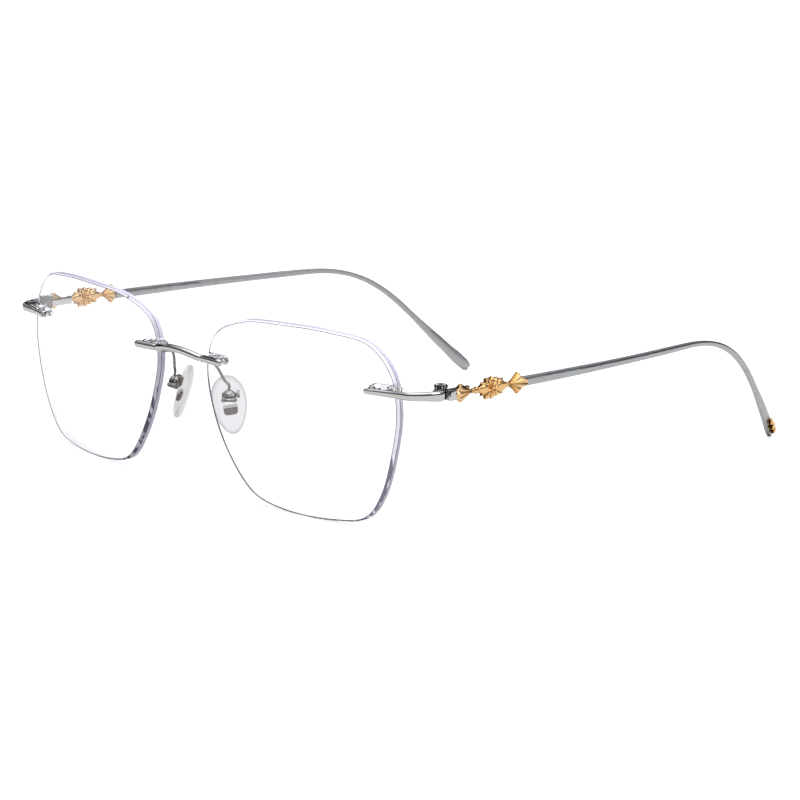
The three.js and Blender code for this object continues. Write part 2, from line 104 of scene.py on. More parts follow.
def seen_directly(tree):
    """1 where the eye meets a surface directly or through a clear lens, and 0 in every reflection."""
    light_path = add_node(tree, "ShaderNodeLightPath")
    eye, lens = light_path.outputs["Is Camera Ray"], light_path.outputs["Is Transmission Ray"]
    either = add_node(tree, "ShaderNodeMath", {0: eye, 1: lens}, operation="MAXIMUM")
    mirrors = light_path.outputs["Glossy Depth"]
    unmirrored = add_node(tree, "ShaderNodeMath", {0: mirrors, 1: 0.5}, operation="LESS_THAN")
    both = {0: either.outputs["Value"], 1: unmirrored.outputs["Value"]}
    return add_node(tree, "ShaderNodeMath", both, operation="MULTIPLY").outputs["Value"]


def new_material(name, **principled):
    """A material with one Principled shader: (material, its node tree, the shader)."""
    made = bpy.data.materials.new(name)
    made.use_nodes = True
    tree = made.node_tree
    shader = tree.nodes["Principled BSDF"]
    for key, value in principled.items():
        shader.inputs[key.replace("_", " ")].default_value = value
    return made, tree, shader


def grain(tree, size_mm, stretch=(1, 1, 1), detail=3):
    """Noise in the object's own coordinates, with spots of size_mm, drawn out along some axes."""
    place = add_node(tree, "ShaderNodeTexCoord").outputs["Object"]
    scale = [1000 / (size_mm * s) for s in stretch]
    mapped = add_node(tree, "ShaderNodeMapping", {"Vector": place, "Scale": scale})
    vector = mapped.outputs["Vector"]
    return add_node(tree, "ShaderNodeTexNoise", {"Vector": vector, "Scale": 1.0, "Detail": detail})


def vary(tree, shader, noise, socket, low, high):
    """Drives one of the shader's sockets from noise, between low and high."""
    span = add_node(
        tree,
        "ShaderNodeMapRange",
        {"Value": noise.outputs["Fac"], "From Min": 0.3, "From Max": 0.7, "To Min": low, "To Max": high},
    )
    tree.links.new(span.outputs["Result"], shader.inputs[socket])


def relief(tree, shader, noise, depth_mm, strength=1.0):
    """Fine surface relief of depth_mm from noise."""
    bump = add_node(
        tree,
        "ShaderNodeBump",
        {"Height": noise.outputs["Fac"], "Distance": depth_mm / 1000, "Strength": strength},
    )
    tree.links.new(bump.outputs["Normal"], shader.inputs["Normal"])


TABLE_HALF = 1.7
laminate, tree, shader = new_material("White matt laminate", Roughness=0.55)
shader.inputs["Base Color"].default_value = linear("#86868A")
shader.inputs["Specular IOR Level"].default_value = 0.1
shader.inputs["Emission Color"].default_value = linear("#FFFFFF")
shader.inputs["Emission Strength"].default_value = 0.8
vary(tree, shader, grain(tree, 0.8), "Roughness", 0.5, 0.6)
# the table is exposed to pure white, and metal picks up a greyer sheet of it
seen = seen_directly(tree)
greyer = add_node(tree, "ShaderNodeBsdfDiffuse", {"Color": linear("#B9B7B5")})
shown = add_node(
    tree,
    "ShaderNodeMixShader",
    {0: seen, 1: greyer.outputs["BSDF"], 2: shader.outputs["BSDF"]},
)
tree.links.new(shown.outputs["Shader"], tree.nodes["Material Output"].inputs["Surface"])

bm = bmesh.new()
bmesh.ops.create_grid(bm, x_segments=2, y_segments=2, size=TABLE_HALF)
mesh = bpy.data.meshes.new("table")
bm.to_mesh(mesh)
bm.free()
mesh.materials.append(laminate)
table = bpy.data.objects.new("table", mesh)
bpy.context.scene.collection.objects.link(table)

room = bpy.data.worlds.new("White room")
bpy.context.scene.world = room
room.use_nodes = True
tree = room.node_tree
tree.nodes.clear()
direction = add_node(tree, "ShaderNodeTexCoord").outputs["Generated"]
height = add_node(tree, "ShaderNodeSeparateXYZ", {"Vector": direction}).outputs["Z"]
shade = add_node(tree, "ShaderNodeValToRGB", {"Fac": height})
set_stops(
    shade,
    [
        (0.0, linear("#4A4A50")),
        (0.03, linear("#060608")),
        (0.29, linear("#0A0A0C")),
        (0.35, linear("#84848A")),
        (0.46, linear("#9C9CA2")),
        (0.5, linear("#131316")),
        (0.59, linear("#131316")),
        (0.63, linear("#A8A8AD")),
        (0.78, linear("#B4B4B8")),
        (0.88, linear("#FFFFFF")),
    ],
)
seen = seen_directly(tree)
plain = add_node(tree, "ShaderNodeBackground", {"Color": linear("#FFFFFF"), "Strength": 1.0})
lit = add_node(tree, "ShaderNodeBackground", {"Color": shade.outputs["Color"], "Strength": 2.0})
mixed = add_node(
    tree,
    "ShaderNodeMixShader",
    {0: seen, 1: lit.outputs["Background"], 2: plain.outputs["Background"]},
)
add_node(tree, "ShaderNodeOutputWorld", {"Surface": mixed.outputs["Shader"]})


def softbox(name, place, size, power, mirrored=True):
    """A square area light at place, facing the glasses. mirrored shows it in polished metal."""
    light = bpy.data.lights.new(name, "AREA")
    light.shape, light.size, light.energy = "SQUARE", size, power
    holder = bpy.data.objects.new(name, light)
    holder.location = place
    holder.rotation_euler = Vector(place).to_track_quat("Z", "Y").to_euler()
    holder.visible_glossy = mirrored
    bpy.context.scene.collection.objects.link(holder)


softbox("overhead softbox", (0.1, 0.0, 1.4), 1.6, 27.0, mirrored=False)
softbox("side softbox", (1.1, 0.35, 0.75), 0.6, 2.4)


# ---------------------------------------------------------------- lenses
# Thin plastic lenses on a shallow curve, polished clear, each drilled for its two mounts.
# The rim is cut in facets that widen down the sides; its pale lavender is partly the plastic's tint and
# partly painted light.
MM = 0.001
SET_BACK = 68.24  # from the lens fronts back to the middle of the glasses, mm

LENS_MIDDLE = Vector((38.3, 0, 20.8))
LENS_LEAN = math.radians(3)
LENS_WRAP = math.radians(7.5)
LENS_THICK = 1.8
LENS_CURVE = 130.0
LENS_OUTLINE = [
    (24.2, -0.5), (24.7, 6.2), (23.1, 13.2), (17.6, 18.7), (8.5, 20.2), (-5.0, 20.4),
    (-18.6, 19.2), (-27.4, 15.1), (-29.95, 7.6), (-27.9, -2.4), (-23.0, -11.8), (-16.6, -18.5),
    (-8.0, -20.6), (7.0, -20.6), (15.6, -18.8), (20.4, -12.8),
]  # fmt: skip
MOUNT_HEIGHT = 9.5  # above the lens centre
NOSE_HOLES = (-25.4, -28.4)  # the hole, and the notch that opens to the rim
SIDE_HOLES = (18.6, 22.6)
HOLE_RADIUS = 1.07

lens_place = (
    Matrix.Translation(LENS_MIDDLE)
    @ Matrix.Rotation(LENS_LEAN, 4, "X")
    @ Matrix.Rotation(LENS_WRAP, 4, "Z")
)


def sag(u, v):
    """How far the lens curve falls back at u, v."""
    return (u * u + v * v) / (2 * LENS_CURVE)


def smooth_line(points, steps, closed=False):
    """A smooth curve through points, with steps to each stretch."""
    points = [Vector(p) for p in points]
    n = len(points)
    if closed:
        framed = [points[-1], *points, points[0], points[1]]
    else:
        framed = [2 * points[0] - points[1], *points, 2 * points[-1] - points[-2]]
    line = []
    for i in range(n if closed else n - 1):
        a, b, c, d = framed[i : i + 4]
        ab, bc, cd = [max(1e-6, (q - p).length) ** 0.5 for p, q in ((a, b), (b, c), (c, d))]
        start = ((b - a) / ab - (c - a) / (ab + bc) + (c - b) / bc) * bc
        end = ((c - b) / bc - (d - b) / (bc + cd) + (d - c) / cd) * bc
        for s in range(steps):
            t = s / steps
            line.append(
                b + start * t + (3 * (c - b) - 2 * start - end) * t**2 + (2 * (b - c) + start + end) * t**3
            )
    return line if closed else [*line, points[-1]]


def skin(bm, rings, finishes=None):
    """A tube drawn out from its first ring of points through the others, one extrusion for each.
    finishes gives each stretch's material."""
    count = len(rings[0])
    verts = bmesh.ops.create_circle(bm, segments=count, radius=1)["verts"]
    edges = [bm.edges.get((verts[i], verts[(i + 1) % count])) for i in range(count)]
    for vert, point in zip(verts, rings[0]):
        vert.co = point
    first = edges
    for k, ring in enumerate(rings[1:]):
        drawn = bmesh.ops.extrude_edge_only(bm, edges=edges)["geom"]
        if finishes:
            for face in (g for g in drawn if isinstance(g, bmesh.types.BMFace)):
                face.material_index = finishes[k]
        new = [g for g in drawn if isinstance(g, bmesh.types.BMVert)]
        old = {v.co.to_tuple(7): i for i, v in enumerate(verts)}
        placed = [None] * count
        for vert in new:
            placed[old[vert.co.to_tuple(7)]] = vert
        for vert, point in zip(placed, ring):
            vert.co = point
        verts = placed
        edges = [bm.edges.get((verts[i], verts[(i + 1) % count])) for i in range(count)]
    for loop in (first, edges):
        bmesh.ops.contextual_create(bm, geom=loop)
    return bm


def finish_piece(name, bm, materials, body, node, flip=False, sharp=32, metres=False):
    """Makes a bmesh in mm into a piece that rides on body and stands for node. flip mirrors it."""
    bmesh.ops.remove_doubles(bm, verts=bm.verts, dist=1e-7 if metres else 1e-4)
    if not metres:
        bmesh.ops.translate(bm, verts=bm.verts, vec=(0, -SET_BACK, 0))
        bmesh.ops.scale(bm, verts=bm.verts, vec=(MM, MM, MM))
    if flip:
        bmesh.ops.scale(bm, verts=bm.verts, vec=(-1, 1, 1))
    bmesh.ops.recalc_face_normals(bm, faces=bm.faces)
    for face in bm.faces:
        face.smooth = True
    for edge in bm.edges:
        edge.smooth = edge.calc_face_angle(0.0) < math.radians(sharp)
    mesh = bpy.data.meshes.new(name)
    bm.to_mesh(mesh)
    bm.free()
    for used in materials:
        mesh.materials.append(used)
    piece = bpy.data.objects.new(name, mesh)
    bpy.context.scene.collection.objects.link(piece)
    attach(piece, body)
    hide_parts(node)


def cut_away(bm, cutter, materials=()):
    """bm less the closed shells of cutter, as a new bmesh. Both are used up. Cut faces take the
    first of bm's materials."""
    holders = []
    for part in (bm, cutter):
        bmesh.ops.recalc_face_normals(part, faces=part.faces)
        mesh = bpy.data.meshes.new("cutting")
        part.to_mesh(mesh)
        part.free()
        for used in materials:
            mesh.materials.append(used)
        holder = bpy.data.objects.new("cutting", mesh)
        bpy.context.scene.collection.objects.link(holder)
        holders.append(holder)
    body, tool = holders
    cut = body.modifiers.new("cut", "BOOLEAN")
    cut.operation, cut.solver, cut.object = "DIFFERENCE", "EXACT", tool
    bpy.context.view_layer.update()
    result = bmesh.new()
    result.from_object(body, bpy.context.evaluated_depsgraph_get())
    for holder in holders:
        mesh = holder.data
        bpy.data.objects.remove(holder)
        bpy.data.meshes.remove(mesh)
    return result


def rod(bm, centre, radius, low, high, sides=32):
    """A cylinder from front to back through centre, an (x, z) place, from low to high along y."""
    made = bmesh.ops.create_cone(
        bm, cap_ends=True, segments=sides, radius1=radius, radius2=radius, depth=high - low
    )
    turn = Matrix.Rotation(math.radians(-90), 4, "X")
    offset = (centre[0], (low + high) / 2, centre[1])
    bmesh.ops.transform(bm, matrix=Matrix.Translation(offset) @ turn, verts=made["verts"])
    return made["verts"]


lens_rim = smooth_line([(u, 0, v) for u, v in LENS_OUTLINE], 10, closed=True)


def facet_depth(point):
    """How deep the rim's front facet cuts: shallow on top and deeper down the sides."""
    side = min(1.0, abs(point.x) / 24.0)
    return 0.26 + 0.28 * side * side


def facet_width(point):
    """How far the front facet reaches in from the rim."""
    side = min(1.0, abs(point.x) / 24.0)
    return 0.26 + 0.18 * side * side


def flush(point):
    """No depth and no inset."""
    return 0.0


def lens_back(point):
    """The depth of the lens back."""
    return LENS_THICK


def lens_ring(scale, inset, depth):
    """A ring of the lens at depth(point) behind its front, scaled and then drawn in by inset(point)."""
    ring = []
    for p in lens_rim:
        k = scale * (1 - inset(p) / p.length)
        ring.append(Vector((p.x * k, depth(p) + sag(p.x * k, p.z * k), p.z * k)))
    return ring


# cast lens plastic, polished and hard coated: clear, with sharp reflections
clear_lens, tree, shader = new_material(
    "Polished hard-coated lens plastic", Roughness=0.0, IOR=1.5, Transmission_Weight=1.0
)
shader.inputs["Base Color"].default_value = linear("#FDFDFF")
vary(tree, shader, grain(tree, 6.0), "Roughness", 0.0, 0.012)  # faint wipe marks

# the same plastic ground and then polished on a wheel, partly clear; its bright pale lavender is partly the
# plastic's tint and partly painted light, for light carried through the lens to its rim
rim_with_painted_light, tree, shader = new_material(
    "Ground and polished lens rim with painted light", Roughness=0.1, IOR=1.5, Transmission_Weight=0.3
)
shader.inputs["Base Color"].default_value = linear("#DCD7EE")
vary(tree, shader, grain(tree, 0.5, (1, 1, 6)), "Roughness", 0.05, 0.16)  # polishing lines
relief(tree, shader, grain(tree, 0.4, (1, 1, 5)), 0.004)

# the front facet is painted with long slate and pale lavender marks, painted reflections of the light
# caught in the plastic: lighter above, and streaked dark on its lower half, where the cut deepens
facet_with_painted_reflections, tree, shader = new_material(
    "Polished lens facet with painted reflections", Roughness=0.03, IOR=1.5, Transmission_Weight=0.3
)
painted_reflection_streaks = grain(tree, 0.9, (1, 1, 22), detail=0)
place = add_node(tree, "ShaderNodeTexCoord").outputs["Object"]
height = add_node(tree, "ShaderNodeSeparateXYZ", {"Vector": place}).outputs["Z"]
# the upper facet is pushed toward the pale end of the painted reflection
low = add_node(
    tree,
    "ShaderNodeMapRange",
    {"Value": height, "From Min": 0.027, "From Max": 0.017, "To Min": 0.35, "To Max": 0.0},
)
painted_reflection_tone = add_node(
    tree,
    "ShaderNodeMath",
    {0: painted_reflection_streaks.outputs["Fac"], 1: low.outputs["Result"]},
    operation="ADD",
)
tone = add_node(tree, "ShaderNodeValToRGB", {"Fac": painted_reflection_tone.outputs["Value"]})
set_stops(tone, [(0.44, linear("#565B70")), (0.5, linear("#A9A8C4")), (0.56, linear("#E9E6F6"))])
tree.links.new(tone.outputs["Color"], shader.inputs["Base Color"])
vary(tree, shader, grain(tree, 0.8), "Roughness", 0.0, 0.05)

# where two faces of the rim meet, the plastic traps the light and looks dark; this is painted as a thin
# opaque slate strip, a painted shade line
painted_shade_line, tree, shader = new_material("Painted slate shade line along a lens edge", Roughness=0.15, IOR=1.5)
noise = grain(tree, 3.0)
tone = add_node(tree, "ShaderNodeValToRGB", {"Fac": noise.outputs["Fac"]})
set_stops(tone, [(0.35, linear("#2B2D35")), (0.65, linear("#565965"))])
tree.links.new(tone.outputs["Color"], shader.inputs["Base Color"])

LENS_FINISHES = (clear_lens, rim_with_painted_light, facet_with_painted_reflections, painted_shade_line)
CLEAR, RIM, FACET, LINE = range(len(LENS_FINISHES))
EDGE_LINE = 0.15  # width of the painted slate shade lines, mm
BACK_BEVEL = 0.3
FACE_STEPS = (0.02, 0.2, 0.4, 0.6, 0.8, 0.93)  # rings of the front and back, as parts of the outline


def widened(point):
    """The inset of the front facet's inner edge line."""
    return facet_width(point) + EDGE_LINE


for name, flip in (("left", False), ("right", True)):
    # the front, the front facet between its two lines, the rim, the back bevel and the back
    rings = [lens_ring(k, flush, flush) for k in FACE_STEPS]
    rings.append(lens_ring(1, widened, flush))
    rings.append(lens_ring(1, facet_width, flush))
    rings.append(lens_ring(1, flush, facet_depth))
    rings.append(lens_ring(1, flush, lambda p: facet_depth(p) + EDGE_LINE))
    rings.append(lens_ring(1, flush, lambda p: LENS_THICK - 0.22))
    rings.append(lens_ring(1, lambda p: EDGE_LINE, lambda p: LENS_THICK - 0.1))
    rings.append(lens_ring(1, lambda p: BACK_BEVEL, lens_back))
    rings += [lens_ring(k, flush, lens_back) for k in reversed(FACE_STEPS)]
    face = [CLEAR] * len(FACE_STEPS)
    bm = skin(bmesh.new(), rings, [*face, LINE, FACET, LINE, RIM, LINE, CLEAR, *face])
    drill = bmesh.new()
    for hole in (*NOSE_HOLES, *SIDE_HOLES):
        rod(drill, (hole, MOUNT_HEIGHT), HOLE_RADIUS, -2, 9)
    bm = cut_away(bm, drill, LENS_FINISHES)
    notches = bmesh.new()
    for notch, edge in ((NOSE_HOLES[1], -32), (SIDE_HOLES[1], 27)):
        side = bmesh.ops.create_cube(notches, size=1)["verts"]
        bmesh.ops.scale(notches, verts=side, vec=(abs(edge - notch), 12, 2 * HOLE_RADIUS - 0.002))
        bmesh.ops.translate(notches, verts=side, vec=((edge + notch) / 2, 3, MOUNT_HEIGHT))
    bm = cut_away(bm, notches, LENS_FINISHES)
    bmesh.ops.transform(bm, matrix=lens_place, verts=bm.verts)
    for vert in bm.verts:
        vert.co.z = max(vert.co.z, 0.0)
    finish_piece(
        f"lens_shaped_{name}", bm, LENS_FINISHES, "front", f"lens_{name}", flip, sharp=14
    )


# ---------------------------------------------------------------- lens bushes
# Double bushes, moulded in clear polycarbonate, one for each lens mount. They are pushed into
# the hole and the notch from behind, and they grip the posts.

# moulded polycarbonate is clear, and its mould finish leaves the gloss slightly uneven
bush_plastic, tree, shader = new_material(
    "Moulded clear polycarbonate", Roughness=0.08, IOR=1.58, Transmission_Weight=0.92
)
shader.inputs["Base Color"].default_value = linear("#F3F4F7")
vary(tree, shader, grain(tree, 0.7), "Roughness", 0.05, 0.15)


def from_node(node, soften_mm):
    """A merged copy of a CAD node's mesh with its sharp edges rounded by soften_mm, in metres."""
    bm = bmesh.new()
    bm.from_mesh(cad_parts[node].data)
    bmesh.ops.remove_doubles(bm, verts=bm.verts, dist=2e-6)
    bmesh.ops.dissolve_limit(
        bm, angle_limit=math.radians(1.0), verts=bm.verts, edges=bm.edges, use_dissolve_boundaries=False
    )
    keen = [e for e in bm.edges if e.calc_face_angle(0.0) > math.radians(30)]
    bmesh.ops.bevel(
        bm, geom=keen, offset=soften_mm * MM, offset_type="OFFSET", affect="EDGES", segments=2,
        profile=0.5, material=-1, clamp_overlap=True,
    )  # fmt: skip
    return bm


for name in ("left", "right"):
    for seat in ("bridge", "endpiece"):
        node = f"{seat}_bush_{name}"
        finish_piece(
            f"{seat}_bush_clear_{name}", from_node(node, 0.05), (bush_plastic,), "front", node,
            metres=True,
        )  # fmt: skip


# ---------------------------------------------------------------- bridge
# One nickel silver wire, swaged to a bullet at each end and mirror polished, then silver plated.
# Four posts are brazed to its back and pass through the lenses.
def section(centre, side, up, half_width, half_height, sides=28, power=2.3):
    """A ring of points round centre: an ellipse that a higher power squares off."""
    ring = []
    for i in range(sides):
        angle = (i + 0.5) / sides * 2 * math.pi
        c, s = math.cos(angle), math.sin(angle)
        r = 1 / (abs(c) ** power + abs(s) ** power) ** (1 / power)
        ring.append(centre + side * (half_width * r * c) + up * (half_height * r * s))
    return ring


def bar(bm, path, sizes, up_hint=(0, 0, 1), power=2.3, sides=28):
    """A bar along path, with (half width, half height) sizes at each point."""
    rings = []
    for i, point in enumerate(path):
        along = (path[min(i + 1, len(path) - 1)] - path[max(i - 1, 0)]).normalized()
        hint = Vector(up_hint)
        up = (hint - along * hint.dot(along)).normalized()
        side = up.cross(along)
        rings.append(section(point, side, up, *sizes[i], sides, power))
    return skin(bm, rings)


def before_lens(u, off, v=MOUNT_HEIGHT):
    """A point off in front of the lens at u, v."""
    return lens_place @ Vector((u, sag(u, v) - off, v))


def polished(name, colour, low=0.05, high=0.12):
    """A bright plated finish: hairline wipe marks in its gloss and a very slight ripple."""
    made, tree, shader = new_material(name, Metallic=1.0)
    shader.inputs["Base Color"].default_value = linear(colour)
    vary(tree, shader, grain(tree, 0.6, (6, 6, 1)), "Roughness", low, high)
    relief(tree, shader, grain(tree, 1.6), 0.006)
    return made


# silver plate over a buffed wire: a clean mirror with hairline marks
bright_silver = polished("Polished silver plate on nickel silver", "#C9C8C7", 0.03, 0.08)

BAR_HEIGHT = 30.25
POST_RADIUS = 0.48
POST_ROOT = 0.8  # how far in front of the lens a post starts, inside the bar


def posts(bm, holes, directions=(1,)):
    """Round posts from the bar through the lens, one for each hole, and mirrored for direction -1."""
    for u in holes:
        depth = sag(u, MOUNT_HEIGHT)
        for direction in directions:
            post = rod(
                bm, (u, MOUNT_HEIGHT), POST_RADIUS, depth - POST_ROOT, depth + LENS_THICK, sides=20
            )
            bmesh.ops.transform(bm, matrix=lens_place, verts=post)
            bmesh.ops.scale(bm, verts=post, vec=(direction, 1, 1))


tip = before_lens(-23.5, 0.95)
neck = before_lens(-30.3, 1.05)
half = [
    # x, y, z, half width, half height
    (0, -2.95, 31.35, 0.78, 0.8),
    (1.6, -2.92, 31.3, 0.78, 0.8),
    (3.2, -2.8, 31.15, 0.78, 0.8),
    (5.8, -2.35, 30.65, 0.77, 0.8),
    (neck.x - 0.9, neck.y - 0.35, BAR_HEIGHT + 0.08, 0.74, 0.78),
    (neck.x - 0.25, neck.y - 0.1, BAR_HEIGHT + 0.02, 0.64, 0.68),
    (neck.x + 0.15, neck.y, BAR_HEIGHT, 0.64, 0.68),
    (neck.x + 0.6, neck.y, BAR_HEIGHT, 0.74, 0.79),
    ((neck.x + tip.x) / 2, (neck.y + tip.y) / 2, BAR_HEIGHT, 0.76, 0.8),
    (tip.x - 0.85, tip.y, BAR_HEIGHT, 0.75, 0.79),
    (tip.x - 0.45, tip.y, BAR_HEIGHT, 0.66, 0.7),
    (tip.x - 0.15, tip.y, BAR_HEIGHT, 0.46, 0.48),
    (tip.x - 0.02, tip.y, BAR_HEIGHT, 0.2, 0.2),
]
whole = [(-x, *rest) for x, *rest in reversed(half[1:])] + half
path = smooth_line([row[:3] for row in whole], 5)
widths = smooth_line([(w, h, 0) for *_, w, h in whole], 5)
bm = bmesh.new()
bar(bm, path, [(w.x, w.y) for w in widths])
posts(bm, NOSE_HOLES, directions=(1, -1))
finish_piece("bridge_wire", bm, (bright_silver,), "front", "bridge")


# ---------------------------------------------------------------- endpieces
# Pressed nickel silver bars, polished and silver plated, with two brazed posts each. They lie on
# the lens fronts, sweep round the rims and deepen to the hinge.
HINGE_X, HINGE_Y = 67.0, 12.9
bar_tip = before_lens(17.3, 0.9)
bar_edge = before_lens(24.2, 0.95)
bar_tip.z = bar_edge.z = BAR_HEIGHT
knots = [
    bar_tip,
    bar_edge,
    (66.1, 4.9, BAR_HEIGHT + 0.15),
    (68.3, 7.5, BAR_HEIGHT + 0.15),
    (69.1, 9.8, BAR_HEIGHT + 0.05),
    (69.2, HINGE_Y - 1.6, BAR_HEIGHT),
]
endpiece_path = smooth_line(knots, 12)


def between(rows, at):
    """Values at a place along rows of (place, value, ...)."""
    for low, high in zip(rows, rows[1:]):
        if at <= high[0]:
            t = (at - low[0]) / (high[0] - low[0])
            t = t * t * (3 - 2 * t)
            return [a + (b - a) * t for a, b in zip(low[1:], high[1:])]
    return list(rows[-1][1:])


def lengths(path):
    """How far along path each point is, from 0 to 1."""
    run = [0.0]
    for a, b in zip(path, path[1:]):
        run.append(run[-1] + (b - a).length)
    return [r / run[-1] for r in run]


ENDPIECE_SIZES = [
    (0, 0.42, 0.42),
    (0.03, 0.56, 0.6),
    (0.45, 0.62, 0.74),
    (0.7, 0.68, 0.9),
    (0.985, 0.74, 1.12),
    (1, 0.66, 1.02),
]
for name, flip in (("left", False), ("right", True)):
    bm = bmesh.new()
    sizes = [between(ENDPIECE_SIZES, t) for t in lengths(endpiece_path)]
    bar(bm, endpiece_path, sizes, power=3.2)
    posts(bm, SIDE_HOLES)
    finish_piece(
        f"endpiece_bar_{name}", bm, (bright_silver,), "front", f"endpiece_{name}", flip
    )


# ---------------------------------------------------------------- hinges
# Milled nickel silver barrels, brazed to the endpiece in front and to the ornament behind.
# A round-headed screw with a rim of knurls drops through from above; its grooves, chamfers and slot and the
# grooves round the barrels are painted dark, a painted shade.

# milled faces keep fine tool lines, so the hinge is a little duller than the bars
hinge_metal = polished("Milled nickel silver", "#CBCBCC", 0.06, 0.16)

# the knurls are cut sharp, and the steel between them is painted near black, a painted shade with a random
# tone
steel_with_painted_shade, tree, shader = new_material("Screw steel painted dark between the knurls", Metallic=1.0, Roughness=0.2)
noise = grain(tree, 0.25)
tone = add_node(tree, "ShaderNodeValToRGB", {"Fac": noise.outputs["Fac"]})
set_stops(tone, [(0.35, linear("#121214")), (0.65, linear("#4E4F55"))])
tree.links.new(tone.outputs["Color"], shader.inputs["Base Color"])
vary(tree, shader, grain(tree, 0.3), "Roughness", 0.12, 0.3)

HEAD_RADIUS = 1.45
HEAD_LOW, HEAD_HIGH = 31.35, 32.1
SHANK_RADIUS = 0.5
KNURLS = 15
SLEEVE_RADIUS, RIB_DEPTH, RIBS = 1.32, 0.16, 13
SLEEVE_EDGE = 0.12  # how far a sleeve's ends are drawn in
KNURL_DEPTH, KNURL_DROP = 0.09, 0.16  # how far the grooves cut into the rim and the top


def ribbed_sleeve(bm, x, low, high):
    """A ribbed sleeve round a knuckle, from low to high, with its grooves painted dark as painted shade. bm
    is in metres.
    """
    rings = []
    for z, draw in ((low, SLEEVE_EDGE), (low + 0.07, 0), (high - 0.07, 0), (high, SLEEVE_EDGE)):
        ring = []
        for i in range(RIBS * 4):
            r = SLEEVE_RADIUS - draw - (RIB_DEPTH if i % 4 < 2 else 0)
            a = i / (RIBS * 4) * 2 * math.pi
            ring.append(Vector((x + r * math.cos(a), HINGE_Y + r * math.sin(a) - SET_BACK, z)))
        rings.append(ring)
    sleeve = skin(bmesh.new(), rings)
    bmesh.ops.scale(sleeve, verts=sleeve.verts, vec=(MM, MM, MM))
    for face in sleeve.faces:
        middle = face.calc_center_median()
        out = math.hypot(middle.x / MM - x, middle.y / MM - HINGE_Y + SET_BACK)
        # the grooves take the steel painted dark: painted shade
        face.material_index = 0 if out > SLEEVE_RADIUS - RIB_DEPTH / 2 else 1
    mesh = bpy.data.meshes.new("sleeve")
    sleeve.to_mesh(mesh)
    sleeve.free()
    bm.from_mesh(mesh)
    bpy.data.meshes.remove(mesh)


for name, flip in (("left", False), ("right", True)):
    hinge_x = -HINGE_X if flip else HINGE_X
    for half_name, body, sleeves in (
        ("front", "front", ((28.98, 29.72), (30.68, 31.22))),
        ("rear", f"temple_{name}", ((29.78, 30.62),)),
    ):
        node = f"{half_name}_hinge_{name}"
        bm = from_node(node, 0.06)
        for low, high in sleeves:
            ribbed_sleeve(bm, hinge_x, low, high)
        finish_piece(
            f"{half_name}_knuckles_{name}", bm, (hinge_metal, steel_with_painted_shade), body, node,
            metres=True,
        )  # fmt: skip
    rings = []
    for z, radius, bite in (
        (29.0, 0.4, 0),
        (29.08, SHANK_RADIUS, 0),
        (HEAD_LOW, SHANK_RADIUS, 0),
        (HEAD_LOW + 0.001, HEAD_RADIUS - 0.12, 0),
        (HEAD_LOW + 0.06, HEAD_RADIUS, 1),
        (HEAD_HIGH - 0.16, HEAD_RADIUS, 1),
        (HEAD_HIGH - 0.06, HEAD_RADIUS - 0.1, 0),
        (HEAD_HIGH, HEAD_RADIUS - 0.26, 0),
        (HEAD_HIGH, 0.02, 0),
    ):
        ring = []
        for i in range(KNURLS * 4):
            grooved = i % 4 < 2
            angle = i / (KNURLS * 4) * 2 * math.pi
            r = radius - (KNURL_DEPTH * bite if grooved else 0.0)
            drop = KNURL_DROP if grooved and z == HEAD_HIGH and radius > SHANK_RADIUS else 0.0
            ring.append(Vector((HINGE_X + r * math.cos(angle), HINGE_Y + r * math.sin(angle), z - drop)))
        rings.append(ring)
    bm = skin(bmesh.new(), rings)
    for face in bm.faces:
        middle = face.calc_center_median()
        out = math.hypot(middle.x - HINGE_X, middle.y - HINGE_Y)
        # the tops of the knurls and the middle stay bright; the grooves and the chamfers are painted dark,
        # a painted shade
        face.material_index = 1 if out > HEAD_RADIUS - 0.04 or out < HEAD_RADIUS - 0.5 else 0
    groove = bmesh.new()
    made = bmesh.ops.create_cube(groove, size=1)["verts"]
    bmesh.ops.scale(groove, verts=made, vec=(4, 0.4, 0.6))
    bmesh.ops.rotate(groove, verts=made, matrix=Matrix.Rotation(math.radians(25), 3, "Z"))
    bmesh.ops.translate(groove, verts=made, vec=(HINGE_X, HINGE_Y, HEAD_HIGH + 0.05))
    bm = cut_away(bm, groove, (steel_with_painted_shade, hinge_metal))
    finish_piece(
        f"hinge_screw_turned_{name}", bm, (steel_with_painted_shade, hinge_metal), "front", f"hinge_screw_{name}",
        flip,
    )  # fmt: skip


# ---------------------------------------------------------------- temple ornaments
# Zinc castings of a fan, a leafy flower and a second fan that ends in a tongue over the arm.
# They are rose gold plated and polished; their deep lines, flute hollows, lobe feet and necks are painted
# dark brown, a painted shade.
gold_with_painted_shade, tree, shader = new_material("Cast rose gold plate with painted shade in its hollows", Metallic=1.0)
# the attribute read here is painted shade that darkens the gold in its hollows; the noise adds a random
# tone
painted_recess_shade = add_node(tree, "ShaderNodeAttribute", attribute_name="painted_recess_shade").outputs["Fac"]
mottle = grain(tree, 0.5)
mottle_and_painted_shade = add_node(
    tree,
    "ShaderNodeMath",
    {0: mottle.outputs["Fac"], 1: 0.25, 2: painted_recess_shade},
    operation="MULTIPLY_ADD",
)
tone = add_node(tree, "ShaderNodeValToRGB", {"Fac": mottle_and_painted_shade.outputs["Value"]})
set_stops(
    tone,
    [
        (0.1, linear("#F2CF9B")),
        (0.42, linear("#E6B677")),
        (0.62, linear("#BE8A4A")),
        (0.8, linear("#5A3414")),
        (1.0, linear("#160B04")),
    ],
)
tree.links.new(tone.outputs["Color"], shader.inputs["Base Color"])
vary(tree, shader, grain(tree, 0.4), "Roughness", 0.1, 0.24)
relief(tree, shader, grain(tree, 0.35), 0.012)


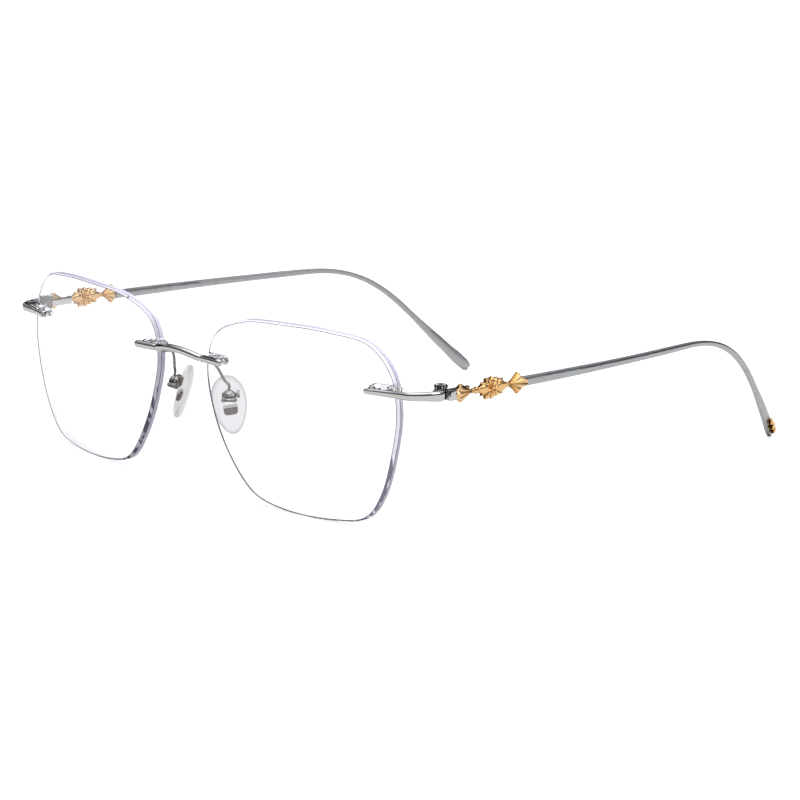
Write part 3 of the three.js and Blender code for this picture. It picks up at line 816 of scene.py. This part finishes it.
def lobe(bm, place, start, end, rows, groove, lift=0.0):
    """A closed leaf from start to end, (along, across) points in place's plane.
    rows are (t, half width, half thickness), and groove sinks a line down its middle."""
    layer = bm.verts.layers.float.get("painted_recess_shade") or bm.verts.layers.float.new("painted_recess_shade")
    before = set(bm.verts)
    start, end = Vector((*start, lift)), Vector((*end, lift))
    along = (end - start).normalized()
    side = Vector((-along.y, along.x, 0))
    sides, shade_depths = 20, {}
    rings = []
    for t, w, h in rows:
        ring = []
        for i in range(sides):
            angle = (i + 0.5) / sides * 2 * math.pi
            c, s = math.cos(angle), math.sin(angle)
            sunk = groove * math.exp(-((c / 0.22) ** 2))
            across = w * math.copysign(abs(c) ** 0.9, c)
            out = h * math.copysign(abs(s) ** 0.75, s) * (1 - sunk)
            point = start.lerp(end, t) + side * across + Vector((0, 0, out))
            # the foot of each leaf and its middle groove are painted dark: painted shade
            low = 1 - abs(s) ** 0.8
            shade_depths[point.to_tuple(4)] = min(1.0, 0.95 * low + 1.6 * sunk * (1 - 0.3 * t))
            ring.append(point)
        rings.append(ring)
    skin(bm, rings)
    for vert in bm.verts:
        if vert not in before:
            vert[layer] = shade_depths.get(vert.co.to_tuple(4), 0.6)
            vert.co = place @ vert.co


LEAF = [
    (0, 0.12, 0.2), (0.12, 0.5, 0.6), (0.3, 0.85, 0.85), (0.5, 1.0, 1.0),
    (0.7, 0.86, 0.9), (0.86, 0.5, 0.62), (0.96, 0.2, 0.3), (1, 0.06, 0.1),
]  # fmt: skip
BEAD = [
    (0, 0.1, 0.1), (0.08, 0.5, 0.5), (0.25, 0.85, 0.85), (0.5, 1, 1),
    (0.75, 0.85, 0.85), (0.92, 0.5, 0.5), (1, 0.1, 0.1),
]  # fmt: skip
FAN_ROWS = [
    # how far out from the neck, and the thickness there
    (0, 0.35), (0.1, 0.45), (0.3, 0.6), (0.55, 0.8), (0.8, 0.97), (0.94, 1.0), (0.99, 0.8), (1, 0.45),
]  # fmt: skip


def fan(bm, place, neck, facing, spread, reach, thickness, flutes):
    """A closed shell of concave flutes with sharp ridges between them, opening from its neck.
    facing is -1 forward or 1 back, spread its half angle, and reach(v) its length at v from -1 to 1."""
    layer = bm.verts.layers.float.get("painted_recess_shade") or bm.verts.layers.float.new("painted_recess_shade")
    before, shade_depths, rings = set(bm.verts), {}, []
    steps = flutes * 10
    for t, rise in FAN_ROWS:
        ring = []
        for i in range(steps * 2):
            front = i < steps
            v = (i + 0.5) / steps * 2 - 1 if front else 3 - (i + 0.5) / steps * 2
            wave = abs(math.sin(flutes * math.pi * (v + 1) / 2)) ** 0.8
            border = (1 - abs(v) ** 5) ** 0.5
            length = reach(v) * t + 0.22 * wave * t**3
            angle = v * spread * (0.55 + 0.45 * t)
            roof = 1 - 0.4 * abs(v)
            out = thickness * rise * border * roof * (1 - 0.3 * wave * (0.35 + 0.65 * t))
            out = out if front else -out
            along = neck + facing * length * math.cos(angle)
            point = Vector((along, (length + 0.45) * math.sin(angle) + 0.12 * v, out))
            # flute hollows, the fan's rim and its neck are painted dark: painted shade
            painted_flute_shade = 0.55 * wave**3 * (1.1 - t) + 0.75 * (1 - border) + 0.5 * (1 - t) ** 4
            shade_depths[point.to_tuple(4)] = max(0.0, painted_flute_shade)
            ring.append(point)
        rings.append(ring)
    skin(bm, rings)
    for vert in bm.verts:
        if vert not in before:
            vert[layer] = min(1.0, shade_depths.get(vert.co.to_tuple(4), 0.5))
            vert.co = place @ vert.co


def scaled(rows, width, thickness):
    """Rows of a leaf with its half width and half thickness at full size."""
    return [(t, w * width, h * thickness) for t, w, h in rows]


ORNAMENT_X, ORNAMENT_Z = 69.3, 30.15
ornament_place = Matrix.Translation((ORNAMENT_X, 0, ORNAMENT_Z)) @ Matrix(
    ((0, 0, 1, 0), (1, 0, 0, 0), (0, 1, 0, 0), (0, 0, 0, 1))
)  # along is back, across is up, and out is away from the head
FLOWER_AT = 25.1


def ornament():
    """The whole casting, on the wearer's left."""
    bm = bmesh.new()
    # the front fan, opening forward from its neck
    fan(bm, ornament_place, 19.6, -1, math.radians(28), lambda v: 4.95 - 1.5 * abs(v), 1.15, 4)
    # beads on the necks
    for centre, reach, width, thick in (
        (19.9, 0.55, 0.55, 0.6),
        (20.75, 0.6, 0.75, 0.68),
        (29.9, 0.55, 0.6, 0.6),
    ):
        rows = scaled(BEAD, width, thick)
        lobe(bm, ornament_place, (centre - reach, 0), (centre + reach, 0), rows, groove=0)
    # the flower: twelve leaves, the two along the arm the longest, eight curls in front, and a bead
    for degrees, reach, width, thick, groove in (
        (180, 4.1, 1.15, 0.95, 0.16),
        (0, 5.1, 1.15, 0.9, 0.2),
        (128, 2.9, 0.85, 0.85, 0.3),
        (-128, 2.9, 0.85, 0.85, 0.3),
        (88, 2.4, 0.8, 0.95, 0.3),
        (-88, 2.4, 0.8, 0.95, 0.3),
        (48, 2.75, 0.8, 0.85, 0.3),
        (-48, 2.75, 0.8, 0.85, 0.3),
        (24, 3.9, 0.7, 0.8, 0.3),
        (-24, 3.9, 0.7, 0.8, 0.3),
        (156, 3.4, 0.6, 0.75, 0.3),
        (-156, 3.4, 0.6, 0.75, 0.3),
    ):
        a = math.radians(degrees)
        end = (FLOWER_AT + reach * math.cos(a), reach * math.sin(a))
        lobe(bm, ornament_place, (FLOWER_AT, 0), end, scaled(LEAF, width, thick), groove=groove)
    for k in range(8):
        a = math.radians(k * 45 + 10)
        reach = 1 / math.sqrt((math.cos(a) / 2.0) ** 2 + (math.sin(a) / 1.45) ** 2)
        end = (FLOWER_AT + reach * math.cos(a), reach * math.sin(a))
        lobe(bm, ornament_place, (FLOWER_AT, 0), end, scaled(LEAF, 0.4, 1.16), groove=0.3)
    lobe(
        bm, ornament_place, (FLOWER_AT - 0.45, 0), (FLOWER_AT + 0.45, 0), scaled(BEAD, 0.42, 1.27), groove=0
    )
    # the rear fan and its tongue
    fan(
        bm, ornament_place, 29.9, 1, math.radians(36),
        lambda v: 3.7 + 2.0 * math.exp(-((v / 0.3) ** 2)) - 0.4 * v * v, 1.25, 5,
    )  # fmt: skip
    return bm


for name, flip in (("left", False), ("right", True)):
    node = f"temple_ornament_{name}"
    finish_piece(f"ornament_cast_{name}", ornament(), (gold_with_painted_shade,), f"temple_{name}", node, flip)


# ---------------------------------------------------------------- temple arms
# Drawn nickel silver bars with a ridge along the outer face, satin brushed along their length.
# They are bent down behind the ear and hammered out to a flat paddle at the tip.
ARM_START_Y, ARM_X, ARM_Z = 33.7, 68.6, 29.95
ARM_LEVEL_Y, ARM_CURVE = 36.2, 0.00121
BEND_START, BEND_LENGTH, DROP = 53.25, 40.0, math.radians(45)
TIP_INWARD, TIP_LOW = 0.6, 0.58
TIP_LIFT = 0.85  # the tip casting stands this far out from the middle of the paddle
ARM_SIZES = [
    (0, 0.6, 1.05), (0.4, 0.54, 0.76), (0.58, 0.5, 0.6), (0.8, 0.55, 0.72), (0.92, 0.7, 1.25),
    (0.962, 0.75, 1.53), (0.98, 0.74, 1.48), (0.993, 0.68, 1.28), (1, 0.5, 0.9),
]  # fmt: skip

satin_silver, tree, shader = new_material("Satin brushed silver plate", Metallic=1.0)
# brush lines run along the arm; they are 0.03 mm wide and drawn at 0.15 mm so that they show
lines = grain(tree, 0.15, (1, 22, 1), detail=4)
tone = add_node(tree, "ShaderNodeValToRGB", {"Fac": lines.outputs["Fac"]})
set_stops(tone, [(0.3, linear("#A0A4A7")), (0.7, linear("#BDC1C4"))])
tree.links.new(tone.outputs["Color"], shader.inputs["Base Color"])
vary(tree, shader, lines, "Roughness", 0.26, 0.38)
relief(tree, shader, lines, 0.008, 0.6)


def ridged(centre, side, up, half_width, half_height):
    """A bar section with a flat inner face and an outer face of two flats that meet in a ridge."""
    outline = [
        (-1, -0.72), (-0.8, -0.96), (0.05, -1.0), (0.4, -0.9), (0.92, 0.2), (0.96, 0.32),
        (0.7, 0.86), (0.45, 0.98), (-0.8, 0.96), (-1, 0.72),
    ]  # fmt: skip
    return [centre + side * (half_width * w) + up * (half_height * h) for w, h in outline]


def arm_path(step=1.6):
    """The arm's centreline, from the ornament to the tip."""
    s, y, z = ARM_START_Y - ARM_LEVEL_Y, ARM_START_Y, ARM_Z
    points = [Vector((ARM_X, y, z))]
    while z - TIP_LOW > 0.01:
        turned = min(1, max(0, (s + step / 2 - BEND_START) / BEND_LENGTH))
        fall = math.sin(DROP * turned * turned * (3 - 2 * turned))
        ds = min(step, (z - TIP_LOW) / fall) if fall > 0 else step
        s += ds
        turned = min(1, max(0, (s - ds / 2 - BEND_START) / BEND_LENGTH))
        y += ds * math.cos(DROP * turned * turned * (3 - 2 * turned))
        z -= ds * fall
        inward = ARM_CURVE * max(0, s) ** 2 + TIP_INWARD * max(0, (s - 85) / 25) ** 2
        points.append(Vector((ARM_X - inward, y, z)))
    return points


rough_path = arm_path()
arm_line = smooth_line(rough_path, 2)
for t in (0.35, 0.65, 0.85):
    arm_line.insert(-1, arm_line[-2].lerp(arm_line[-1], t))
tip_heading = (rough_path[-1] - rough_path[-3]).normalized()
paddle_up = (Vector((0, 0, 1)) - tip_heading * tip_heading.z).normalized()
paddle_out = paddle_up.cross(tip_heading)
if paddle_out.x < 0:
    paddle_out = -paddle_out
tip_columns = Matrix((-tip_heading, paddle_up, paddle_out)).transposed().to_4x4()
tip_place = Matrix.Translation(rough_path[-1]) @ tip_columns

for name, flip in (("left", False), ("right", True)):
    bm = bmesh.new()
    rings = []
    places = lengths(arm_line)
    for i, point in enumerate(arm_line):
        along = (arm_line[min(i + 1, len(arm_line) - 1)] - arm_line[max(i - 1, 0)]).normalized()
        up = (Vector((0, 0, 1)) - along * along.z).normalized()
        side = along.cross(up)
        w, h = between(ARM_SIZES, places[i])
        rings.append(ridged(point, side, up, w, h))
    skin(bm, rings)
    bmesh.ops.bevel(
        bm, geom=[e for e in bm.edges if e.calc_face_angle(0.0) > math.radians(28)], offset=0.06,
        offset_type="OFFSET", affect="EDGES", segments=2, profile=0.5, material=-1, clamp_overlap=True,
    )  # fmt: skip
    for vert in bm.verts:
        vert.co.z = max(vert.co.z, 0.0)
    finish_piece(
        f"arm_drawn_{name}", bm, (satin_silver,), f"temple_{name}", f"temple_arm_{name}",
        flip, sharp=40,
    )  # fmt: skip

    # the small casting on the outer face of the paddle: three scalloped lobes of the same gold
    bm = bmesh.new()
    for centre, spread in ((5.7, 0.85), (3.75, 1.08), (1.85, 0.95)):
        for k in range(5):
            a = math.radians(-90 + k * 45)
            end = (centre - 0.95 * spread * math.cos(a) * 0.8, spread * math.sin(a))
            rows = scaled(LEAF, 0.42 * spread, 0.8 * spread)
            lobe(bm, tip_place, (centre + 0.55, 0), end, rows, 0.25, lift=TIP_LIFT)
    lobe(bm, tip_place, (7.1, 0), (1.0, 0), scaled(LEAF, 0.3, 0.75), 0.1, lift=TIP_LIFT)
    finish_piece(
        f"tip_cast_{name}", bm, (gold_with_painted_shade,), f"temple_{name}", f"tip_ornament_{name}", flip
    )


# ---------------------------------------------------------------- nose pads
# Clear silicone ovals moulded on a stiff core, each rocking on a screw in a polished box.
# The box is brazed to a bent wire that comes from the back of the bridge.
PAD_PIVOT = Vector((9.7, 5.35, 21.75))
PAD_LEAN, PAD_SPLAY, PAD_TURN = math.radians(-16), math.radians(-35), math.radians(8)
PAD_BACK, PAD_MIDDLE = -1.45, -2.15
PAD_HALF_WIDTH, PAD_HALF_HEIGHT, PAD_EGG = 3.75, 6.5, 0.17  # PAD_EGG widens the top and narrows the foot
PAD_RIM, PAD_DOME = 0.85, 1.3  # thickness of the rim, and how far the face is domed
LUG_RADIUS = 0.95
box_place = (
    Matrix.Translation(PAD_PIVOT) @ Matrix.Rotation(PAD_SPLAY, 4, "Z") @ Matrix.Rotation(PAD_LEAN, 4, "Y")
)
pad_place = box_place @ Matrix.Rotation(PAD_TURN, 4, "X")

# moulded silicone is water clear and drawn as a see-through grey; it is painted more solid grey round its
# rim, a painted shade for its darker look seen edge on
silicone, tree, shader = new_material("Clear moulded silicone, painted darker round its rim", Roughness=0.2, IOR=1.41)
shader.inputs["Base Color"].default_value = linear("#6E6A67")
edge = add_node(tree, "ShaderNodeAttribute", attribute_name="edge").outputs["Fac"]
painted_rim_shade = add_node(tree, "ShaderNodeMapRange", {"Value": edge, "To Min": 0.2, "To Max": 0.4})
tree.links.new(painted_rim_shade.outputs["Result"], shader.inputs["Alpha"])
vary(tree, shader, grain(tree, 0.8), "Roughness", 0.15, 0.3)

# moulded nylon is dull, and its grey-brown shows through the silicone
nylon, tree, shader = new_material("Grey-brown nylon insert", Roughness=0.4)
shader.inputs["Base Color"].default_value = linear("#6C655E")
vary(tree, shader, grain(tree, 0.4), "Roughness", 0.3, 0.5)
relief(tree, shader, grain(tree, 0.3), 0.01)

# the wire keeps fine draw marks, and the pressed box is buffed to a brighter gloss; the box's silver is
# painted darker than the bars', a painted shade for the dark inside of its dome
wire_silver = polished("Polished silver plated wire", "#8F9193", 0.08, 0.18)
box_silver_painted_darker = polished("Polished silver plate on pressed steel", "#94938F", 0.02, 0.06)

BOX_FLAT = -1.05  # the box is flat on the pad's side, which leaves the pad room to rock
BOX_ROWS = [
    # height, half width, half depth
    (-1.75, 1.5, 1.3), (-1.68, 1.72, 1.48), (-1.42, 1.78, 1.54), (-1.18, 1.72, 1.48),
    (-1.06, 1.52, 1.34), (-0.7, 1.58, 1.4), (-0.2, 1.52, 1.36), (0.25, 1.34, 1.22),
    (0.6, 1.02, 0.98), (0.86, 0.6, 0.62), (0.96, 0.2, 0.22),
]  # fmt: skip


def pad_ring(x, k):
    """The pad's egg outline at depth x, drawn in by k."""
    ring = []
    for i in range(56):
        a = i / 56 * 2 * math.pi
        width = PAD_HALF_WIDTH * math.cos(a) * (1 + PAD_EGG * math.sin(a))
        height = PAD_HALF_HEIGHT * math.sin(a) * (1 - (1 - k) * 0.75)
        ring.append(Vector((x, width * k, PAD_MIDDLE + height)))
    return ring


def soften(bm, edges, offset, segments):
    """Rounds some edges."""
    bmesh.ops.bevel(
        bm, geom=edges, offset=offset, offset_type="OFFSET", affect="EDGES", segments=segments,
        profile=0.5, material=-1, clamp_overlap=True,
    )  # fmt: skip


for name, flip in (("left", False), ("right", True)):
    rings = [pad_ring(PAD_BACK, k) for k in (0.03, 0.4, 0.7)]
    for sunk, k in ((0.12, 0.74), (0.04, 0.8), (0, 0.86), (0.1, 0.93), (0.4, 0.985), (PAD_RIM, 1.0)):
        rings.append(pad_ring(PAD_BACK - sunk, k))
    for i in range(1, 9):
        a = i / 8 * math.pi / 2
        rings.append(pad_ring(PAD_BACK - PAD_RIM - PAD_DOME * math.sin(a), max(0.03, math.cos(a) ** 0.8)))
    bm = skin(bmesh.new(), rings)
    # the edge attribute marks the rim, where the silicone takes its painted shade
    layer = bm.verts.layers.float.new("edge")
    for vert in bm.verts:
        along = (vert.co.z - PAD_MIDDLE) / PAD_HALF_HEIGHT
        wide = vert.co.y / (PAD_HALF_WIDTH * (1 + PAD_EGG * max(-1.0, min(1.0, along))))
        vert[layer] = max(0.0, min(1.0, (math.hypot(along, wide) - 0.86) / 0.12))
    # the moulding rises in a clear collar under the box
    collar = bmesh.ops.create_cube(bm, size=1)["verts"]
    bmesh.ops.scale(bm, verts=collar, vec=(0.8, 3.1, 0.85))
    bmesh.ops.translate(bm, verts=collar, vec=(PAD_BACK - 0.1, 0, -2.6))
    # the collar takes part of the painted rim shade
    for vert in collar:
        vert[layer] = 0.45
    soften(bm, list({e for v in collar for e in v.link_edges}), 0.28, 3)
    bmesh.ops.transform(bm, matrix=pad_place, verts=bm.verts)
    finish_piece(
        f"nose_pad_moulded_{name}", bm, (silicone,), f"pad_{name}", f"nose_pad_{name}",
        flip, sharp=60,
    )  # fmt: skip
    # the insert: a flat nylon plate with a rounded foot, and a lug up to the screw
    bm = bmesh.new()
    plate = bmesh.ops.create_cube(bm, size=1)["verts"]
    bmesh.ops.scale(bm, verts=plate, vec=(0.62, 3.05, 1.55))
    bmesh.ops.translate(bm, verts=plate, vec=(PAD_BACK - 0.2, 0, -3.65))
    foot = [e for e in bm.edges if all(v.co.z < -4 for v in e.verts)]
    soften(bm, [e for e in foot if abs(e.verts[0].co.y - e.verts[1].co.y) < 0.1], 0.8, 6)
    soften(bm, [e for e in bm.edges if e.calc_face_angle(0.0) > 0.6], 0.09, 2)
    bmesh.ops.transform(bm, matrix=Matrix.Rotation(PAD_TURN, 4, "X"), verts=bm.verts)
    lug = bmesh.ops.create_cube(bm, size=1)["verts"]
    bmesh.ops.scale(bm, verts=lug, vec=(1.4, 1.0, 1.9))
    bmesh.ops.translate(bm, verts=lug, vec=(-0.75, 0, 0))
    rod(bm, (0, 0), LUG_RADIUS, -0.5, 0.5)
    bmesh.ops.transform(bm, matrix=box_place, verts=bm.verts)
    finish_piece(
        f"pad_insert_{name}", bm, (nylon,), f"pad_{name}", f"pad_core_{name}", flip
    )
    # the box: a small pressed dome with a brim, slotted and flat on the pad's side, and two grips
    depthwise, widthwise = Vector((1, 0, 0)), Vector((0, 1, 0))
    rings = []
    for z, w, d in BOX_ROWS:
        rings.append(section(Vector((0.12, 0, z)), depthwise, widthwise, d, w, 40, 2.5))
    bm = skin(bmesh.new(), rings)
    for y in (-0.82, 0.82):
        rings = []
        for z, r in ((0.1, 0.5), (1.2, 0.52), (1.42, 0.48), (1.6, 0.36), (1.7, 0.18), (1.72, 0.03)):
            middle = Vector((0.5, y * (1.2 - 0.15 * z), z))
            rings.append(section(middle, depthwise, widthwise, r * 1.15, r, 20, 2))
        skin(bm, rings)
    gap = bmesh.new()
    made = bmesh.ops.create_cube(gap, size=1)["verts"]
    bmesh.ops.scale(gap, verts=made, vec=(3.4, 1.56, 3.0))
    bmesh.ops.translate(gap, verts=made, vec=(-0.8, 0, -0.9))
    bm = cut_away(bm, gap)
    flat = bmesh.new()
    made = bmesh.ops.create_cube(flat, size=1)["verts"]
    bmesh.ops.scale(flat, verts=made, vec=(2, 6, 6))
    bmesh.ops.translate(flat, verts=made, vec=(BOX_FLAT - 1, 0, 0))
    bm = cut_away(bm, flat)
    bmesh.ops.transform(bm, matrix=box_place, verts=bm.verts)
    finish_piece(
        f"pad_box_domed_{name}", bm, (box_silver_painted_darker,), "front", f"pad_box_{name}", flip,
        sharp=40,
    )  # fmt: skip
    node = f"pad_screw_{name}"
    finish_piece(
        f"pad_screw_turned_{name}", from_node(node, 0.06), (wire_silver,), "front", node,
        metres=True,
    )  # fmt: skip
    knots = [
        (6.9, -0.95, 29.35), (7.0, 0.8, 29.35), (7.4, 2.3, 29.0), (8.0, 3.3, 27.9), (8.6, 3.95, 26.4),
        (9.2, 4.5, 24.9), box_place @ Vector((0.8, 0, 1.9)), box_place @ Vector((0.6, 0, 0.8)),
    ]  # fmt: skip
    path = smooth_line(knots, 6)
    bm = bar(bmesh.new(), path, [(0.32, 0.32)] * len(path), up_hint=(1, 0, 0), power=2, sides=16)
    finish_piece(
        f"pad_wire_{name}", bm, (wire_silver,), "front", f"pad_arm_{name}", flip
    )
